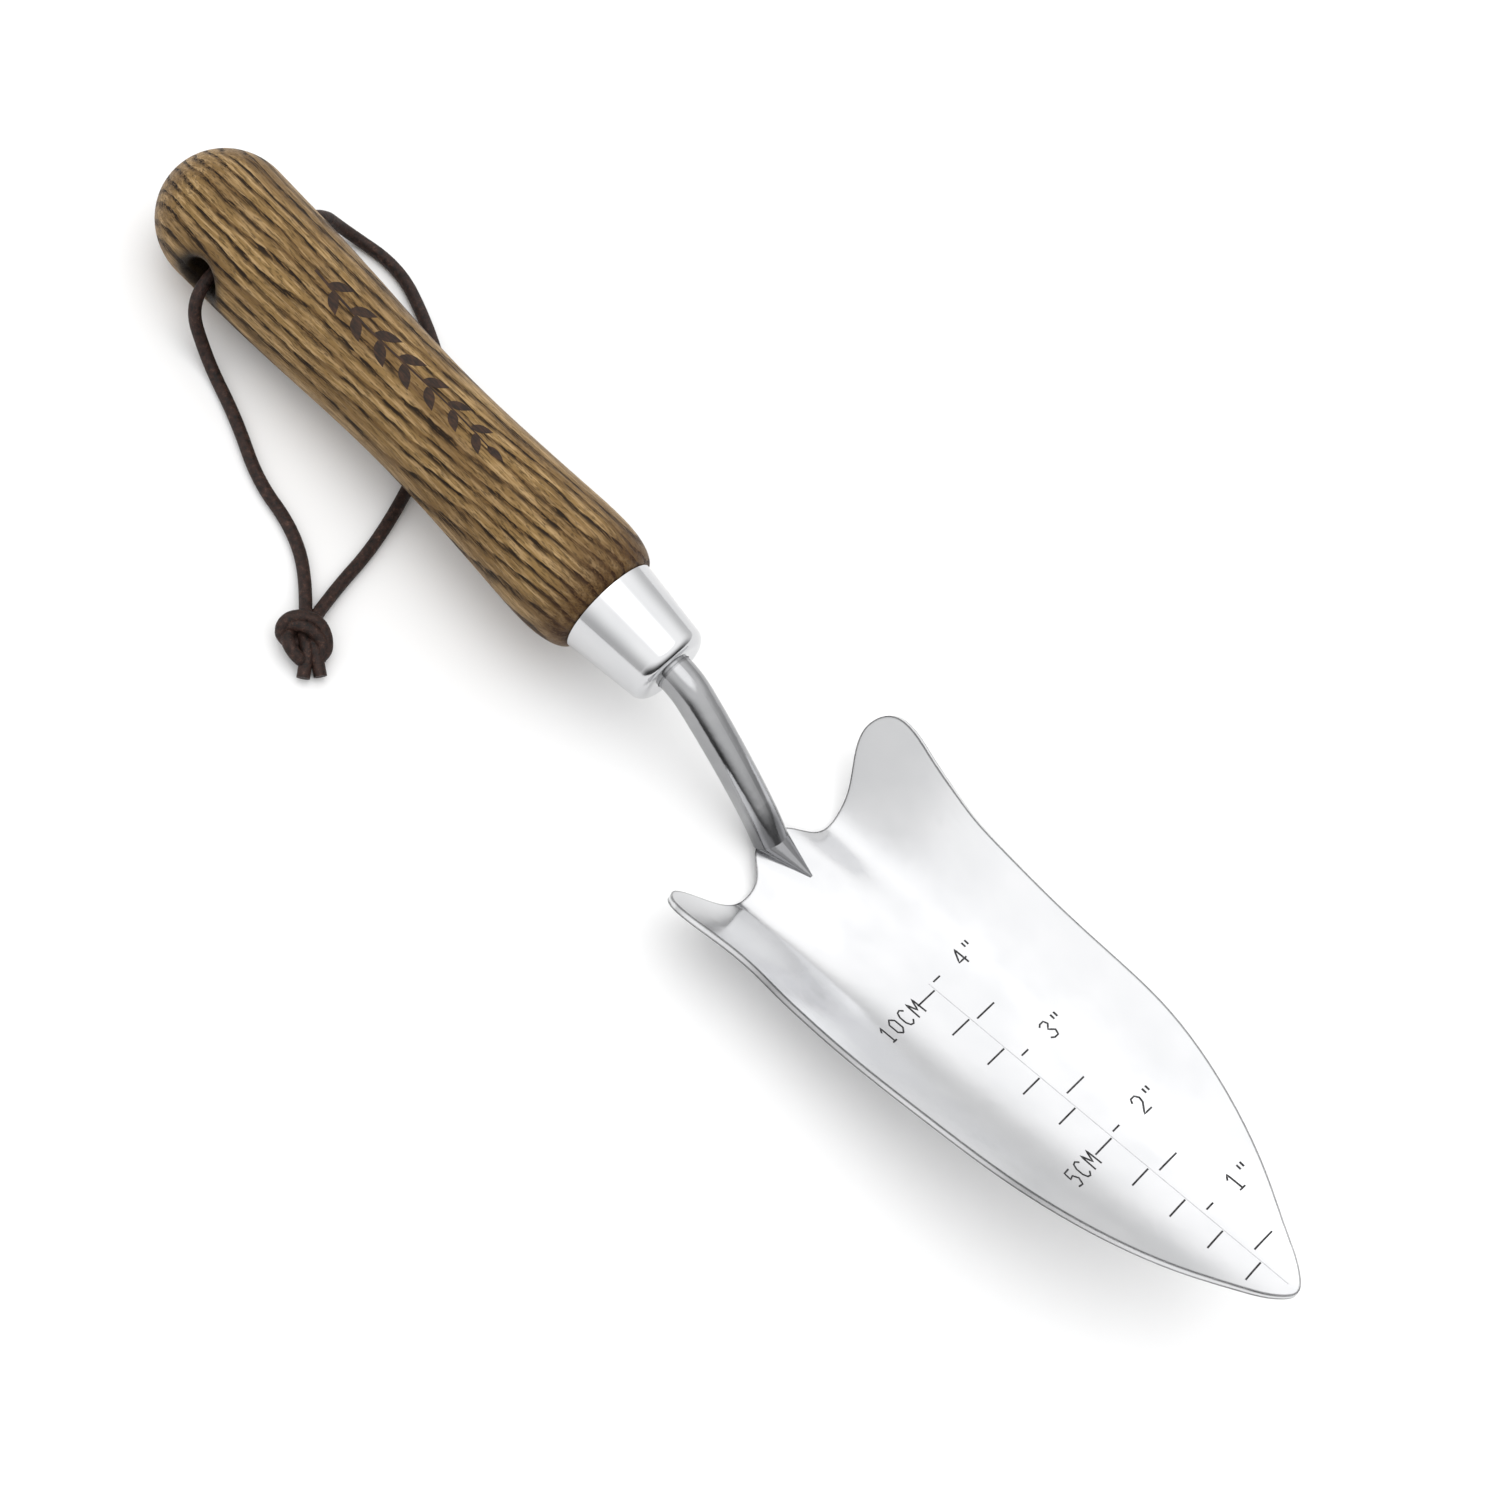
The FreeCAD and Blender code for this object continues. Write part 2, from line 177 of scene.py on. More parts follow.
across = add(tree, "Math", {0: x, 1: wander}, operation="ADD")[0]
from_heart = add(tree, "CombineXYZ", {0: across, 2: z})[0]
from_heart = add(tree, "VectorMath", {0: from_heart, 1: HEART_PLACE}, operation="DISTANCE")["Value"]
year = add(tree, "Math", {0: from_heart, 1: RING_WIDTH}, operation="DIVIDE")[0]
year = add(tree, "Math", {0: year}, operation="FRACT")[0]

# Early wood is about the first third of each ring. Its pores are wide, and the stain lies in them in
# broken streaks.
early_start = add(tree, "MapRange", {0: year, 1: EARLY_RISE[0], 2: EARLY_RISE[1]},
    interpolation_type="SMOOTHSTEP")[0]
early_end = add(tree, "MapRange", {0: year, 1: EARLY_FALL[0], 2: EARLY_FALL[1], 3: 1.0, 4: 0.0},
    interpolation_type="SMOOTHSTEP")[0]
early = add(tree, "Math", {0: early_start, 1: early_end}, operation="MULTIPLY")[0]
wide_pores_cells = add(tree, "VectorMath", {0: place, 1: (PORE_ACROSS, PORE_ALONG, PORE_ACROSS)},
    operation="DIVIDE")[0]
wide_pores = add(tree, "TexNoise", {"Vector": wide_pores_cells, "Scale": 1.0, "Detail": 3.0,
        "Roughness": 0.65})["Fac"]
wide_pores = add(tree, "MapRange", {0: wide_pores, 1: PORE_LEVELS[0], 2: PORE_LEVELS[1]},
    interpolation_type="SMOOTHSTEP")[0]
fine_pores_cells = add(tree, "VectorMath", {0: place,
        1: (FINE_PORE_ACROSS, FINE_PORE_ALONG, FINE_PORE_ACROSS)}, operation="DIVIDE")[0]
fine_pores = add(tree, "TexNoise", {"Vector": fine_pores_cells, "Scale": 1.0, "Roughness": 0.6})["Fac"]
fine_pores = add(tree, "MapRange", {0: fine_pores, 1: FINE_PORE_LEVELS[0], 2: FINE_PORE_LEVELS[1],
        3: 0.0, 4: FINE_PORE_TINT}, interpolation_type="SMOOTHSTEP")[0]
streaks_cells = add(tree, "VectorMath", {0: place, 1: (STREAK_ACROSS, STREAK_ALONG, STREAK_ACROSS)},
    operation="DIVIDE")[0]
streaks = add(tree, "TexNoise", {"Vector": streaks_cells, "Scale": 1.0, "Detail": 3.0,
        "Roughness": 0.6})["Fac"]
streaks = add(tree, "MapRange", {0: streaks, 1: STREAK_LEVELS[0], 2: STREAK_LEVELS[1],
        3: STREAK_LEAST, 4: 1.0}, interpolation_type="SMOOTHSTEP")[0]
open_grain = add(tree, "Math", {0: wide_pores, 1: streaks}, operation="MULTIPLY")[0]
open_grain = add(tree, "Math", {0: open_grain, 1: early}, operation="MULTIPLY")[0]
dark = add(tree, "Math", {0: open_grain, 1: fine_pores}, operation="MAXIMUM")[0]

# The wood between the pores has light and late bands, early wood, clouds of deeper stain and two dark places
light_bands_cells = add(tree, "VectorMath", {0: place, 1: (BAND_ACROSS, BAND_ALONG, BAND_ACROSS)},
    operation="DIVIDE")[0]
light_bands = add(tree, "TexNoise", {"Vector": light_bands_cells, "Scale": 1.0, "Roughness": 0.6})["Fac"]
light_bands = add(tree, "MapRange", {0: light_bands, 1: BAND_LEVELS[0], 2: BAND_LEVELS[1]},
    interpolation_type="SMOOTHSTEP")[0]
colour = add(tree, "Mix", {0: light_bands, 6: linear(ASH_LATE), 7: linear(ASH_LIGHT)}, data_type="RGBA")[2]
early_tint = add(tree, "Math", {0: early, 1: EARLY_TINT}, operation="MULTIPLY")[0]
colour = add(tree, "Mix", {0: early_tint, 6: colour, 7: linear(ASH_EARLY)}, data_type="RGBA")[2]
clouds_cells = add(tree, "VectorMath", {0: place, 1: (CLOUD_ACROSS, CLOUD_ALONG, CLOUD_ACROSS)},
    operation="DIVIDE")[0]
clouds = add(tree, "TexNoise", {"Vector": clouds_cells, "Scale": 1.0})["Fac"]
clouds = add(tree, "MapRange", {0: clouds, 1: CLOUD_LEVELS[0], 2: CLOUD_LEVELS[1], 3: 0.0, 4: CLOUD_TINT},
    interpolation_type="SMOOTHSTEP")[0]
colour = add(tree, "Mix", {0: clouds, 6: colour, 7: linear(ASH_EARLY)}, data_type="RGBA")[2]
pore_tint = add(tree, "Math", {0: dark, 1: PORE_TINT}, operation="MULTIPLY")[0]
colour = add(tree, "Mix", {0: pore_tint, 6: colour, 7: linear(ASH_PORE)}, data_type="RGBA")[2]
# The wood's colour gets darker over its last 14 mm towards the ferrule.
at_ferrule = add(tree, "MapRange", {0: from_butt, 1: HANDLE_LENGTH - DARKER_END, 2: HANDLE_LENGTH, 3: 0.0,
        4: FERRULE_DARKENING}, interpolation_type="SMOOTHSTEP")[0]
colour = add(tree, "Mix", {0: at_ferrule, 6: colour, 7: linear(ASH_DARKER_END)}, data_type="RGBA")[2]
# Painted shade: inside the cross hole and round its mouth the wood's colour is made nearly black.
along_hole = add(tree, "Math", {0: from_butt, 1: HOLE_FROM_BUTT}, operation="SUBTRACT")[0]
from_hole = add(tree, "CombineXYZ", {1: along_hole, 2: z})[0]
from_hole = add(tree, "VectorMath", {0: from_hole}, operation="LENGTH")["Value"]
hole_shade = add(tree, "MapRange", {0: from_hole, 1: HOLE_SHADE_SPAN[0], 2: HOLE_SHADE_SPAN[1], 3: HOLE_SHADE_DEPTH,
        4: 0.0}, interpolation_type="SMOOTHSTEP")[0]
colour = add(tree, "Mix", {0: hole_shade, 6: colour, 7: linear(HOLE_PAINTED_SHADE)}, data_type="RGBA")[2]
tree.links.new(colour, shader.inputs["Base Color"])
gloss = add(tree, "MapRange", {0: dark, 1: 0.0, 2: 1.0, 3: OIL_ROUGHNESS[1], 4: OIL_ROUGHNESS[0]},
    interpolation_type="SMOOTHSTEP")[0]
tree.links.new(gloss, shader.inputs["Roughness"])
shader.inputs["IOR"].default_value = WOOD_IOR
shader.inputs["Specular IOR Level"].default_value = WOOD_GLOSS
relief = add(tree, "Math", {0: 1.0, 1: dark}, operation="SUBTRACT")[0]
relief = add(tree, "Bump", {"Strength": PORE_RELIEF, "Distance": PORE_DEPTH * MM,
        "Height": relief})["Normal"]
tree.links.new(relief, shader.inputs["Normal"])
dress("handle", ash)

# ---- Burned sprig ----
# A leafy sprig branded with a hot stamp along the top of the handle. The char is matt and nearly black.
# A real brand is a little sunk; this one stands a hair's breadth proud of the wood, so that it shows.
SPRIG_START = 45.0
SPRIG_LENGTH = 57.0
SPRIG_ANGLE = math.radians(4.5)
SPRIG_RADIUS = 14.2
STEM_WIDTH = 0.55
STEM_STEPS = 40
STEM_SWAY = 0.5
STEM_FOOT_SHARE = 1.1
STEM_TAPER = 0.5
LEAF_PAIRS = 7
LEAF_LENGTH = 6.6
LEAF_WIDTH = 2.7
LEAF_ANGLE = math.radians(33)
LEAF_STEPS = 10
LEAF_FULLNESS = 0.8
LEAF_BLUNT = 0.03
LEAF_FOOT = (0.9, 0.35)
FIRST_LEAF = 0.7
LEAVES_END = 0.93
FULLEST_LEAF = 0.45
LEAF_SHRINK = 0.45
TIP_LEAF = (5.0, 1.8)
TIP_LEAF_OVERLAP = 1.2
CHAR_DARK = "#1E120A"
CHAR_PALE = "#3F2818"
CHAR_LEVELS = (0.35, 0.75)
CHAR_ROUGHNESS = 0.85
CHAR_RELIEF = 0.08
MOTTLE_ACROSS = 0.5
MOTTLE_ALONG = 2.5
OUTSIDE_WOOD = 40.0
INLAY_PROUD = 0.03
INLAY_DEPTH = 0.12
INLAY_STEPS = 4

handle_tree = BVHTree.FromObject(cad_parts["handle"], bpy.context.evaluated_depsgraph_get())
axis_turn = Matrix.Rotation(PITCH, 3, "X")


def on_handle(along, around):
    """The place and normal on the wood, that far from the butt and round from the top, in millimetres."""
    angle = SPRIG_ANGLE + around / SPRIG_RADIUS
    out = axis_turn @ Vector((math.sin(angle), 0, math.cos(angle)))
    axis = axis_turn @ Vector((0, HANDLE_END - HANDLE_LENGTH + along, 0)) + Vector(AXIS_PLACE)
    spot, normal = handle_tree.ray_cast((axis + out * OUTSIDE_WOOD) * MM, -out)[:2]
    return spot, normal


def inlay(name, strips, lay, finish):
    """A closed body that follows a surface, from strips of (left, right) points on that surface."""
    points, faces = [], []
    across = range(INLAY_STEPS + 1)
    for strip in strips:
        start = len(points)
        for left, right in strip:
            for i in across:
                spot, normal = lay(*Vector(left).lerp(Vector(right), i / INLAY_STEPS))
                points += [spot + normal * INLAY_PROUD * MM, spot - normal * INLAY_DEPTH * MM]
        row = 2 * len(across)
        for i in range(len(strip) - 1):
            a = start + row * i
            b = a + row
            last = row - 2
            faces += [(a, b, b + 1, a + 1), (a + last, a + last + 1, b + last + 1, b + last)]
            for j in range(0, last, 2):
                near, far = a + j, b + j
                faces += [(near, near + 2, far + 2, far), (near + 1, far + 1, far + 3, near + 3)]
        for j in range(0, row - 2, 2):
            end = start + row * (len(strip) - 1) + j
            first = start + j
            faces += [(first, first + 1, first + 3, first + 2), (end, end + 2, end + 3, end + 1)]
    mesh = bpy.data.meshes.new(name)
    mesh.from_pydata(points, [], faces)
    mesh.materials.append(finish)
    piece = bpy.data.objects.new(name, mesh)
    bpy.context.collection.objects.link(piece)
    return piece


def leaf(start, angle, length, width):
    """A pointed leaf as a strip that widens and closes again, with its midrib along the angle."""
    ahead = Vector((math.cos(angle), math.sin(angle)))
    aside = Vector((-ahead.y, ahead.x))
    strip = []
    for i in range(LEAF_STEPS + 1):
        share = i / LEAF_STEPS
        half = width / 2 * math.sin(math.pi * share ** LEAF_FULLNESS) + LEAF_BLUNT
        middle = start + ahead * length * share
        strip.append((middle + aside * half, middle - aside * half))
    return strip


char, tree, shader, place = new_material("ash_branded_char")
mottle_cells = add(tree, "VectorMath", {0: place, 1: (MOTTLE_ACROSS, MOTTLE_ALONG, MOTTLE_ACROSS)},
    operation="DIVIDE")[0]
mottle = add(tree, "TexNoise", {"Vector": mottle_cells, "Scale": 1.0, "Detail": 3.0,
        "Roughness": 0.6})["Fac"]
wood_left = add(tree, "MapRange", {0: mottle, 1: CHAR_LEVELS[0], 2: CHAR_LEVELS[1]},
    interpolation_type="SMOOTHSTEP")[0]
colour = add(tree, "Mix", {0: wood_left, 6: linear(CHAR_DARK), 7: linear(CHAR_PALE)}, data_type="RGBA")[2]
tree.links.new(colour, shader.inputs["Base Color"])
shader.inputs["Roughness"].default_value = CHAR_ROUGHNESS
relief = add(tree, "Bump", {"Strength": 1.0, "Distance": CHAR_RELIEF * MM, "Height": mottle})["Normal"]
tree.links.new(relief, shader.inputs["Normal"])

# The stem sways once each way along its length and gets thinner; the leaves are largest near its middle
stem = []
for i in range(STEM_STEPS + 1):
    along = SPRIG_START + SPRIG_LENGTH * i / STEM_STEPS
    middle = STEM_SWAY * math.sin(2 * math.pi * i / STEM_STEPS)
    half = STEM_WIDTH / 2 * (STEM_FOOT_SHARE - STEM_TAPER * i / STEM_STEPS)
    stem.append((Vector((along, middle + half)), Vector((along, middle - half))))
strips = [stem]
for i in range(LEAF_PAIRS):
    share = (i + FIRST_LEAF) / LEAF_PAIRS
    size = 1.0 - LEAF_SHRINK * abs(share - FULLEST_LEAF)
    middle = STEM_SWAY * math.sin(2 * math.pi * share * LEAVES_END)
    root = Vector((SPRIG_START + SPRIG_LENGTH * share * LEAVES_END, middle))
    for side in (1, -1):
        foot = root + Vector(LEAF_FOOT) * side
        strips.append(leaf(foot, side * LEAF_ANGLE, LEAF_LENGTH * size, LEAF_WIDTH * size))
tip = Vector((SPRIG_START + SPRIG_LENGTH - TIP_LEAF_OVERLAP, 0))
strips.append(leaf(tip, 0.0, *TIP_LEAF))
sprig = inlay("branded_sprig", strips, on_handle, char)
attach(sprig, "root")

# ---- Steel ferrule and neck rod ----
# The ferrule is spun from stainless sheet and buffed to a mirror on the lathe, so its faint marks run
# round it. The neck is a bent stainless rod, buffed along its length, and its colour is painted darker as
# painted shade. The tongue at its end is ground and welded to the blade, and its colour is painted darker
# still, a painted shade.
STEEL_BRIGHT = "#DEDEDF"
STEEL_SHADE = "#CECFD1"
# Painted shade: the neck's tones are much darker than the blade's steel.
ROD_BRIGHT = "#AAAAAB"
ROD_SHADE = "#838486"
TONGUE_PAINTED_SHADE = "#48484A"
# Painted shade: the ferrule's tones are a little darker than the blade's steel.
SPUN_BRIGHT = "#D2D2D3"
SPUN_SHADE = "#C2C3C5"
BUFF_MARK = 0.10
SPUN_MARK_LENGTH = 5.0
ROD_MARK_LENGTH = 6.0
SPUN_MARK_DEPTH = 0.002
ROD_MARK_DEPTH = 0.003
MARK_STRENGTH = 0.25
MIRROR_ROUGHNESS = (0.07, 0.15)
ROD_ROUGHNESS = (0.10, 0.18)
HAZE_ACROSS = 9.0
HAZE_ALONG = 14.0
DULL_LEVELS = (0.6, 1.4)
TONGUE_SHADE_SPREAD = 3
TONGUE_SHADE_DEPTH = 0.6


def buffed_steel(name, across, along, depth, rough, tones=(STEEL_SHADE, STEEL_BRIGHT)):
    """Buffed stainless steel with its tree and shader; its marks are across by along by depth, in mm."""
    made, tree, shader, place = new_material(name)
    marks_cells = add(tree, "VectorMath", {0: place, 1: (across, along, across)}, operation="DIVIDE")[0]
    marks = add(tree, "TexNoise", {"Vector": marks_cells, "Scale": 1.0, "Detail": 3.0,
            "Roughness": 0.6})["Fac"]
    haze_cells = add(tree, "VectorMath", {0: place, 1: (HAZE_ACROSS, HAZE_ALONG, HAZE_ACROSS)},
        operation="DIVIDE")[0]
    haze = add(tree, "TexNoise", {"Vector": haze_cells, "Scale": 1.0})["Fac"]
    colour = add(tree, "Mix", {0: haze, 6: linear(tones[0]), 7: linear(tones[1])}, data_type="RGBA")[2]
    tree.links.new(colour, shader.inputs["Base Color"])
    shader.inputs["Metallic"].default_value = 1.0
    duller = add(tree, "Math", {0: marks, 1: haze}, operation="ADD")[0]
    dullness = add(tree, "MapRange", {0: duller, 1: DULL_LEVELS[0], 2: DULL_LEVELS[1], 3: rough[0],
            4: rough[1]}, interpolation_type="SMOOTHSTEP")[0]
    tree.links.new(dullness, shader.inputs["Roughness"])
    relief = add(tree, "Bump", {"Strength": MARK_STRENGTH, "Distance": depth * MM, "Height": marks})["Normal"]
    tree.links.new(relief, shader.inputs["Normal"])
    return made, tree, shader


spun_steel, tree, shader = buffed_steel("stainless_spun_buffed", SPUN_MARK_LENGTH, BUFF_MARK,
    SPUN_MARK_DEPTH, MIRROR_ROUGHNESS, (SPUN_SHADE, SPUN_BRIGHT))
dress("ferrule", spun_steel)

rod_steel, tree, shader = buffed_steel("stainless_rod_satin_buffed", BUFF_MARK, ROD_MARK_LENGTH,
    ROD_MARK_DEPTH, ROD_ROUGHNESS, (ROD_SHADE, ROD_BRIGHT))
place = add(tree, "TexCoord")["Object"]
along = add(tree, "SeparateXYZ", {0: place})["Y"]
rear_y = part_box("blade")[0][1]
# Painted shade: darker colour round the blade's rear edge, on the neck's ground tongue.
tongue_shade = add(tree, "MapRange", {0: along, 1: rear_y - TONGUE_SHADE_SPREAD * MM, 2: rear_y + TONGUE_SHADE_SPREAD * MM, 3: 0.0,
        4: TONGUE_SHADE_DEPTH}, interpolation_type="SMOOTHSTEP")[0]
bare = shader.inputs["Base Color"].links[0].from_socket
shaded_tongue = add(tree, "Mix", {0: tongue_shade, 6: bare, 7: linear(TONGUE_PAINTED_SHADE)}, data_type="RGBA")[2]
tree.links.new(shaded_tongue, shader.inputs["Base Color"])
dress("neck_rod", rod_steel)

# ---- Cured glue ----
# Epoxy that sets round the tang in the handle's bore. It is amber, a little cloudy and smooth,
# and it is hidden inside the wood.
GLUE_DARK = "#A07F45"
GLUE_PALE = "#C4A262"
GLUE_CLOUD = 2.0
GLUE_ROUGHNESS = 0.35
EPOXY_IOR = 1.55

epoxy, tree, shader, place = new_material("epoxy_cured")
cloudy_cells = add(tree, "VectorMath", {0: place, 1: (GLUE_CLOUD, GLUE_CLOUD, GLUE_CLOUD)},
    operation="DIVIDE")[0]
cloudy = add(tree, "TexNoise", {"Vector": cloudy_cells, "Scale": 1.0})["Fac"]
colour = add(tree, "Mix", {0: cloudy, 6: linear(GLUE_DARK), 7: linear(GLUE_PALE)}, data_type="RGBA")[2]
tree.links.new(colour, shader.inputs["Base Color"])
shader.inputs["Roughness"].default_value = GLUE_ROUGHNESS
shader.inputs["IOR"].default_value = EPOXY_IOR
dress("tang_glue", epoxy)

# ---- Blade ----
# Stainless sheet, blanked, pressed to its trough and polished all over. Fine polishing lines run along it.
# The blanked edge is only deburred and a little darker than the faces. Its colour is painted darker still,
# and its rims nearly black, as painted shade for the dark outline along the sheet's edge.
POLISH_ACROSS = 0.16
POLISH_ALONG = 22.0
POLISH_DEPTH = 0.003
POLISH_ROUGHNESS = (0.13, 0.24)
RIM_PAINTED_SHADE = "#151517"
CUT_EDGE_AND_SHADE_TONE = "#4C4C4E"
RIM_WIDTH = 1.0
# How far the rounded and true normals agree at a rim and near a corner, and how steep the blanked edge is
RIM_AGREES = (0.9, 0.975)
CORNER_AGREES = (0.97, 0.9995)
EDGE_TOP = (0.35, 0.5)
EDGE_BOTTOM = (-0.72, -0.62)

pressed, tree, shader = buffed_steel("stainless_sheet_pressed_polished", POLISH_ACROSS, POLISH_ALONG,
    POLISH_DEPTH, POLISH_ROUGHNESS)
true_normal = add(tree, "NewGeometry")["True Normal"]
rounded = add(tree, "Bevel", {"Radius": RIM_WIDTH * MM}, samples=6)[0]
agree = add(tree, "VectorMath", {0: rounded, 1: true_normal}, operation="DOT_PRODUCT")["Value"]
# Painted shade: a nearly black band along every rim of the sheet.
rim = add(tree, "MapRange", {0: agree, 1: RIM_AGREES[0], 2: RIM_AGREES[1], 3: 1.0, 4: 0.0},
    interpolation_type="SMOOTHSTEP")[0]
steep = add(tree, "SeparateXYZ", {0: true_normal})["Z"]
# The blanked edge faces outwards and a little down, and lies wholly within a rim's width of a corner
not_up = add(tree, "MapRange", {0: steep, 1: EDGE_TOP[0], 2: EDGE_TOP[1], 3: 1.0, 4: 0.0},
    interpolation_type="SMOOTHSTEP")[0]
not_down = add(tree, "MapRange", {0: steep, 1: EDGE_BOTTOM[0], 2: EDGE_BOTTOM[1]},
    interpolation_type="SMOOTHSTEP")[0]
outwards = add(tree, "Math", {0: not_up, 1: not_down}, operation="MULTIPLY")[0]
near_corner = add(tree, "MapRange", {0: agree, 1: CORNER_AGREES[0], 2: CORNER_AGREES[1], 3: 1.0, 4: 0.0},
    interpolation_type="SMOOTHSTEP")[0]
cut = add(tree, "Math", {0: outwards, 1: near_corner}, operation="MULTIPLY")[0]
face = shader.inputs["Base Color"].links[0].from_socket
# The blanked edge's colour: partly its own rougher finish, partly painted shade.
edged = add(tree, "Mix", {0: cut, 6: face, 7: linear(CUT_EDGE_AND_SHADE_TONE)}, data_type="RGBA")[2]
edged = add(tree, "Mix", {0: rim, 6: edged, 7: linear(RIM_PAINTED_SHADE)}, data_type="RGBA")[2]
tree.links.new(edged, shader.inputs["Base Color"])
dress("blade", pressed)

# ---- Ruler ----
# Depth marks etched in the hollow side and filled with dark oxide: centimetres on the +X side of a faint
# centre line, half inches and short whole inches on the other, both counted from the tip. Like the sprig,
# they stand a hair's breadth proud, so that they show.
BLADE_SLOPE = math.radians(12.0) + PITCH
LINE_WIDTH = 0.42
CENTRE_WIDTH = 0.2
CENTIMETRE_MARK = (0.3, 6.0)
HALF_INCH_MARK = (-1.1, -6.7)
WHOLE_INCH_MARK = (-1.1, -3.3)
CENTIMETRE = 10
INCH = 25.4
CENTIMETRES = 10
INCHES = 4
CENTRE_LINE = (3, 102)
STROKE_STEP = 0.7
CENTRE_STEP = 1.5
NUMBER_HEIGHT = 4.3
NUMBER_WIDTH = 2.5
NUMBER_GAP = 1.0
INCH_NUMBERS_AT = -8.6
METRIC_NUMBERS_AT = 16.0
ABOVE_BLADE = 200.0
OXIDE_DARK = "#161617"
OXIDE_WORN = "#4A4A4C"
OXIDE_WEAR = 0.8
OXIDE_LEVELS = (0.4, 0.75)
OXIDE_ROUGHNESS = 0.6
OXIDE_METALLIC = 0.3
ETCH_DARK = "#A6A6A8"
ETCH_PALE = "#D2D2D4"
ETCH_ACROSS = 1.0
ETCH_ALONG = 3.0
ETCH_ROUGHNESS = 0.5
ETCH_METALLIC = 0.8
# Numerals and letters as single strokes in a box one wide and one high, from the lower left corner
STROKES = {
    "0": [[(0.5, 0), (0.1, 0.22), (0.1, 0.78), (0.5, 1), (0.9, 0.78), (0.9, 0.22), (0.5, 0)]],
    "1": [[(0.15, 0.75), (0.5, 1), (0.5, 0)], [(0.2, 0), (0.8, 0)]],
    "2": [[(0.1, 0.78), (0.3, 1), (0.7, 1), (0.9, 0.78), (0.8, 0.5), (0.1, 0), (0.95, 0)]],
    "3": [[(0.1, 0.88), (0.35, 1), (0.75, 1), (0.88, 0.76), (0.5, 0.54), (0.92, 0.27), (0.75, 0), (0.35, 0),
           (0.08, 0.14)]],
    "4": [[(0.7, 0), (0.7, 1), (0.05, 0.3), (0.95, 0.3)]],
    "5": [[(0.9, 1), (0.2, 1), (0.14, 0.58), (0.6, 0.64), (0.9, 0.34), (0.65, 0), (0.1, 0.06)]],
    "C": [[(0.9, 0.82), (0.6, 1), (0.3, 0.95), (0.1, 0.7), (0.1, 0.3), (0.3, 0.05), (0.6, 0), (0.9, 0.18)]],
    "M": [[(0.05, 0), (0.1, 1), (0.5, 0.35), (0.9, 1), (0.95, 0)]],
    '"': [[(0.2, 1), (0.16, 0.7)], [(0.55, 1), (0.51, 0.7)]],
}

blade_tree = BVHTree.FromObject(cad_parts["blade"], bpy.context.evaluated_depsgraph_get())
tip_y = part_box("blade")[1][1]


def on_blade(across, back):
    """The place and normal on the hollow side, so far across and so far back from the tip, in millimetres."""
    start = Vector((across * MM, tip_y - back * MM * math.cos(BLADE_SLOPE), ABOVE_BLADE * MM))
    spot, normal = blade_tree.ray_cast(start, Vector((0, 0, -1)))[:2]
    return spot, normal


def stroke(points, width, step=STROKE_STEP):
    """A strip of even width along a line of points, cut into short lengths."""
    line = [Vector(points[0])]
    for point in points[1:]:
        point = Vector(point)
        start = line[-1]
        count = max(1, round((point - start).length / step))
        line += [start.lerp(point, (i + 1) / count) for i in range(count)]
    strip = []
    for i, point in enumerate(line):
        ahead = (line[min(i + 1, len(line) - 1)] - line[max(i - 1, 0)]).normalized()
        aside = Vector((-ahead.y, ahead.x)) * width / 2
        strip.append((point + aside, point - aside))
    return strip


def write(text, across, back):
    """Strokes of a text that starts at across and reads towards -X, with its top towards the handle."""
    strips = []
    for i, letter in enumerate(text):
        start = across - i * (NUMBER_WIDTH + NUMBER_GAP)
        for points in STROKES[letter]:
            places = [(start - u * NUMBER_WIDTH, back + (v - 0.5) * NUMBER_HEIGHT) for u, v in points]
            strips.append(stroke(places, LINE_WIDTH))
    return strips


oxide, tree, shader, place = new_material("steel_etched_oxide_filled")
wear_cells = add(tree, "VectorMath", {0: place, 1: (OXIDE_WEAR, OXIDE_WEAR, OXIDE_WEAR)},
    operation="DIVIDE")[0]
wear = add(tree, "TexNoise", {"Vector": wear_cells, "Scale": 1.0, "Detail": 3.0, "Roughness": 0.6})["Fac"]
worn = add(tree, "MapRange", {0: wear, 1: OXIDE_LEVELS[0], 2: OXIDE_LEVELS[1]},
    interpolation_type="SMOOTHSTEP")[0]
colour = add(tree, "Mix", {0: worn, 6: linear(OXIDE_DARK), 7: linear(OXIDE_WORN)}, data_type="RGBA")[2]
tree.links.new(colour, shader.inputs["Base Color"])
shader.inputs["Roughness"].default_value = OXIDE_ROUGHNESS
shader.inputs["Metallic"].default_value = OXIDE_METALLIC

strips = []
for n in range(1, CENTIMETRES + 1):
    strips.append(stroke([(across, CENTIMETRE * n) for across in CENTIMETRE_MARK], LINE_WIDTH))
for n in range(1, 2 * INCHES + 1):
    ends = HALF_INCH_MARK if n % 2 else WHOLE_INCH_MARK
    strips.append(stroke([(across, INCH / 2 * n) for across in ends], LINE_WIDTH))
for n in range(1, INCHES + 1):
    strips += write(str(n) + '"', INCH_NUMBERS_AT, INCH * n)
strips += write("5CM", METRIC_NUMBERS_AT, 5 * CENTIMETRE)
strips += write("10CM", METRIC_NUMBERS_AT + NUMBER_WIDTH, 10 * CENTIMETRE)
ruler = inlay("etched_ruler", strips, on_blade, oxide)
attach(ruler, "root")

